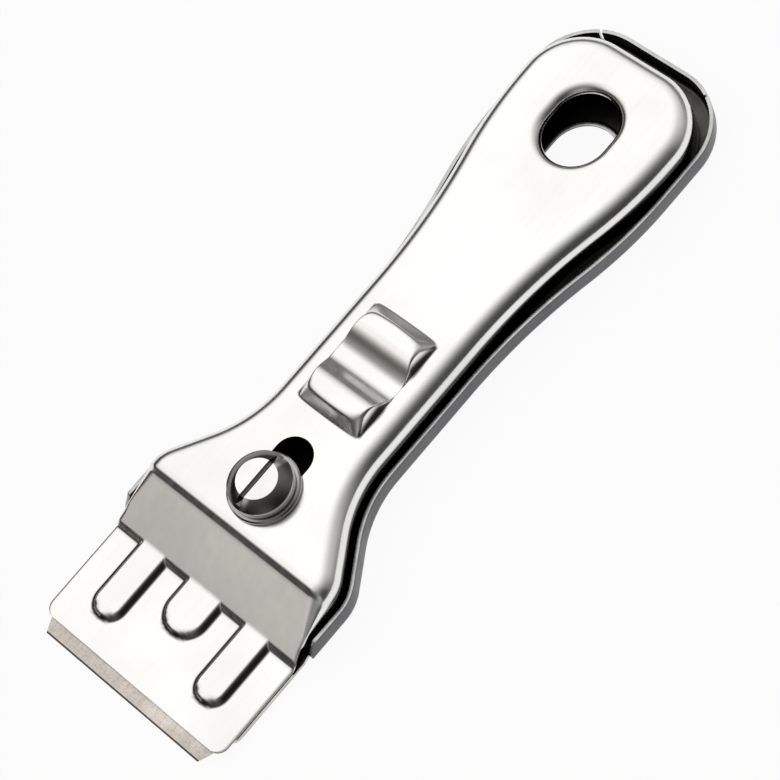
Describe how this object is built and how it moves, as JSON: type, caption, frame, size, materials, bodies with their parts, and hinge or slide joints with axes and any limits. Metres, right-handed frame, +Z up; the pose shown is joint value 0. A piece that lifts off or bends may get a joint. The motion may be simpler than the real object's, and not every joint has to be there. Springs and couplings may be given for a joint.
{
  "type": "razor blade scraper",
  "caption": "Pressed-steel razor blade scraper: a sliding upper shell with thumb grip and ribbed nose, a clamp screw, a shallow lower shell with a jaw, and a hanging hole.",
  "frame": {"origin": "centre of the footprint on the underside of the lower shell", "axes": "+Y from the blade to the tail, +Z up out of the top face, +X to the right seen from the blade's end looking at the tail"},
  "size_m": [0.0418, 0.1308, 0.0129],
  "materials": {
    "polished_steel": "polished",
    "satin_steel": "satin",
    "blade_steel": "ground",
    "plated_steel": "bright plated"
  },
  "bodies": {
    "base": {"lower_shell": "satin_steel", "blade": "blade_steel", "blade_pegs": "satin_steel", "threaded_bush": "satin_steel"},
    "slider": {"upper_shell": "polished_steel"},
    "washer": {"screw_washer": "plated_steel"},
    "screw": {"clamp_screw": "plated_steel"}
  },
  "joints": [
    {"name": "shell_slide", "type": "slide", "parent": "base", "child": "slider", "axis": [0, -1, 0], "range_m": [0, 0.0064]},
    {"name": "washer_lift", "type": "slide", "parent": "base", "child": "washer", "axis": [0, 0, 1], "range_m": [0, 0.002]},
    {"name": "screw_turn", "type": "hinge", "parent": "washer", "child": "screw", "pos_m": [0, -0.0278, 0.00975], "axis": [0, 0, 1], "range_deg": [0, 720]}
  ],
  "couplings": [
    {"joint": "screw_turn", "follows": "washer_lift", "rad_per_m": 6283.2}
  ]
}
